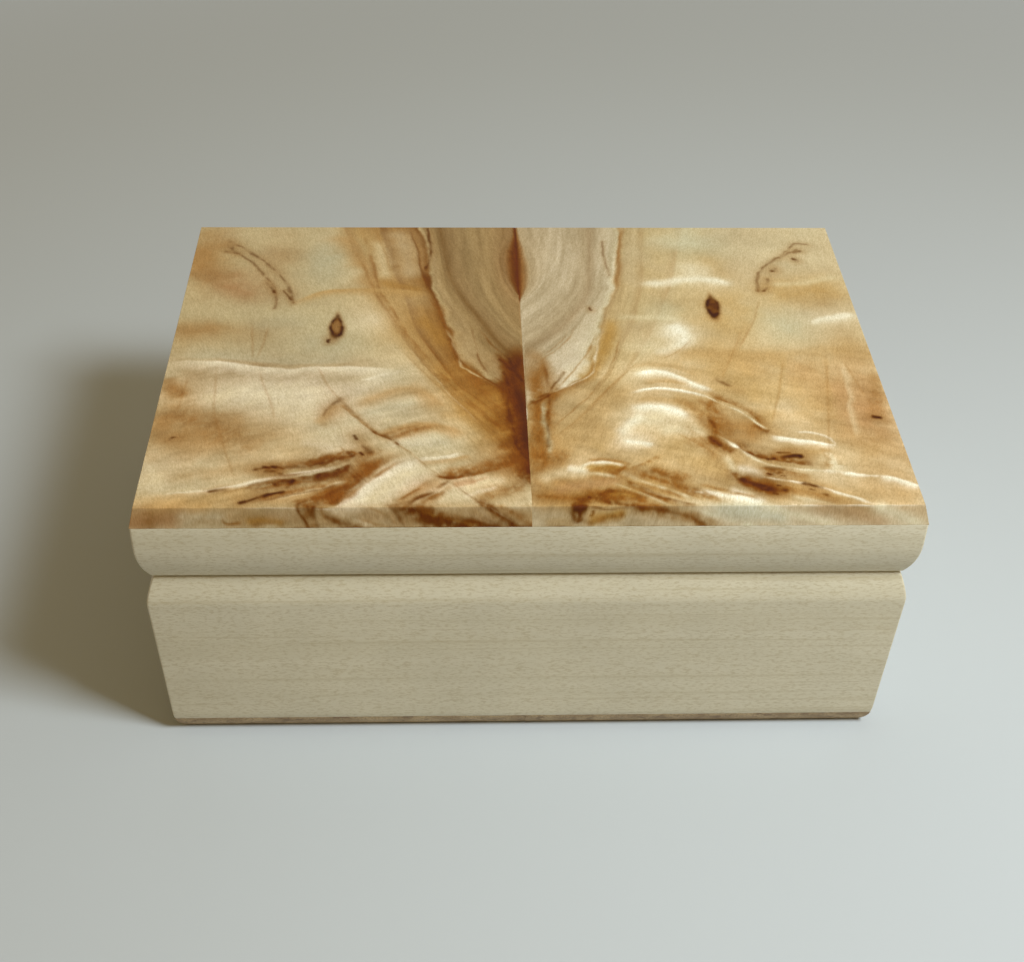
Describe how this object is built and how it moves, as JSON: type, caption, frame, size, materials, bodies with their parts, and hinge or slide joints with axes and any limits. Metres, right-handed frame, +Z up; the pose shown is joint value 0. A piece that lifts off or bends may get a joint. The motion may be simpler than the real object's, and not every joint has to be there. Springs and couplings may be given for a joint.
{
  "type": "jewelry box",
  "caption": "Lidded wooden jewelry box with mitred waisted walls, a bookmatched figured top, brass stop hinges and a felt-lined sliding tray.",
  "frame": {"origin": "middle of the underside", "axes": "+X along the width to the right of someone facing the front, +Y to the hinged back, +Z up"},
  "size_m": [0.25, 0.178, 0.1008],
  "materials": {
    "pale_wood": "satin oil",
    "figured_wood": "satin oil",
    "brown_wood": "satin oil",
    "tray_wood": "satin oil",
    "felt": "matte felt",
    "brass": "brushed"
  },
  "bodies": {
    "base": {"base_front_wall": "pale_wood", "base_back_wall": "pale_wood", "base_left_wall": "pale_wood", "base_right_wall": "pale_wood", "bottom_board_left": "brown_wood", "bottom_board_right": "brown_wood", "base_lining": "felt", "tray_runner_front": "tray_wood", "tray_runner_back": "tray_wood", "left_hinge_lower_leaf": "brass", "right_hinge_lower_leaf": "brass", "left_hinge_pin": "brass", "right_hinge_pin": "brass", "hinge_lower_screws": "brass"},
    "lid": {"lid_front_rail": "pale_wood", "lid_back_rail": "pale_wood", "lid_left_rail": "pale_wood", "lid_right_rail": "pale_wood", "top_board_left": "figured_wood", "top_board_right": "figured_wood", "lid_lining": "felt", "left_hinge_upper_leaf": "brass", "right_hinge_upper_leaf": "brass", "hinge_upper_screws": "brass"},
    "tray": {"tray_front_wall": "tray_wood", "tray_back_wall": "tray_wood", "tray_left_wall": "tray_wood", "tray_right_wall": "tray_wood", "tray_floor": "tray_wood", "tray_lining": "felt", "tray_cross_divider": "tray_wood", "tray_long_dividers": "tray_wood"}
  },
  "joints": [
    {"name": "lid_hinge", "type": "hinge", "parent": "base", "child": "lid", "pos_m": [0, 0.086, 0.0724], "axis": [-1, 0, 0], "range_deg": [0, 100]},
    {"name": "tray_slide", "type": "slide", "parent": "base", "child": "tray", "axis": [1, 0, 0], "range_m": [0, 0.095]}
  ]
}
